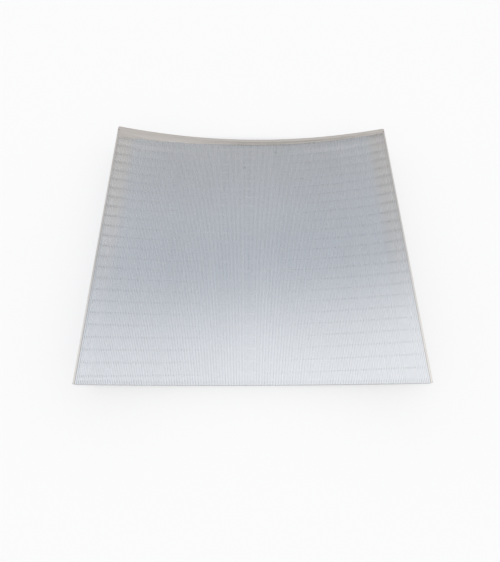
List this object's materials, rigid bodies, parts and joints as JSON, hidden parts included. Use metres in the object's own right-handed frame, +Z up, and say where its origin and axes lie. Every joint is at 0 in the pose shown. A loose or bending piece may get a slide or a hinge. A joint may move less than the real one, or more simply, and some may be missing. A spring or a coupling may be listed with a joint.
{
  "type": "filter sieve screen",
  "caption": "Curved wedge-wire sieve-bend panel: straight profile wires on bent support rods in a frame of flat bars, hollow side up.",
  "frame": {"origin": "middle of the panel, on the surface that it rests on", "axes": "+Y along the wires towards the end with the raised bar, +X across the wires to the right, +Z up, out of the hollow working side"},
  "size_m": [0.5502, 0.496, 0.058],
  "materials": {
    "profile_wire": "drawn stainless steel, faces ground",
    "support_rod": "stainless steel with weld tint",
    "frame_bar": "rolled stainless flat bar, satin"
  },
  "bodies": {
    "root": {"profile_wires_01": "profile_wire", "profile_wires_02": "profile_wire", "profile_wires_03": "profile_wire", "profile_wires_04": "profile_wire", "profile_wires_05": "profile_wire", "profile_wires_06": "profile_wire", "profile_wires_07": "profile_wire", "profile_wires_08": "profile_wire", "profile_wires_09": "profile_wire", "profile_wires_10": "profile_wire", "profile_wires_11": "profile_wire", "profile_wires_12": "profile_wire", "profile_wires_13": "profile_wire", "profile_wires_14": "profile_wire", "profile_wires_15": "profile_wire", "profile_wires_16": "profile_wire", "profile_wires_17": "profile_wire", "profile_wires_18": "profile_wire", "support_rod_01": "support_rod", "support_rod_02": "support_rod", "support_rod_03": "support_rod", "support_rod_04": "support_rod", "support_rod_05": "support_rod", "support_rod_06": "support_rod", "support_rod_07": "support_rod", "support_rod_08": "support_rod", "support_rod_09": "support_rod", "support_rod_10": "support_rod", "support_rod_11": "support_rod", "support_rod_12": "support_rod", "support_rod_13": "support_rod", "support_rod_14": "support_rod", "support_rod_15": "support_rod", "support_rod_16": "support_rod", "support_rod_17": "support_rod", "support_rod_18": "support_rod", "support_rod_19": "support_rod", "support_rod_20": "support_rod", "support_rod_21": "support_rod", "support_rod_22": "support_rod", "support_rod_23": "support_rod", "support_rod_24": "support_rod", "far_end_bar": "frame_bar", "near_end_bar": "frame_bar", "left_side_bar": "frame_bar", "right_side_bar": "frame_bar"}
  },
  "joints": []
}
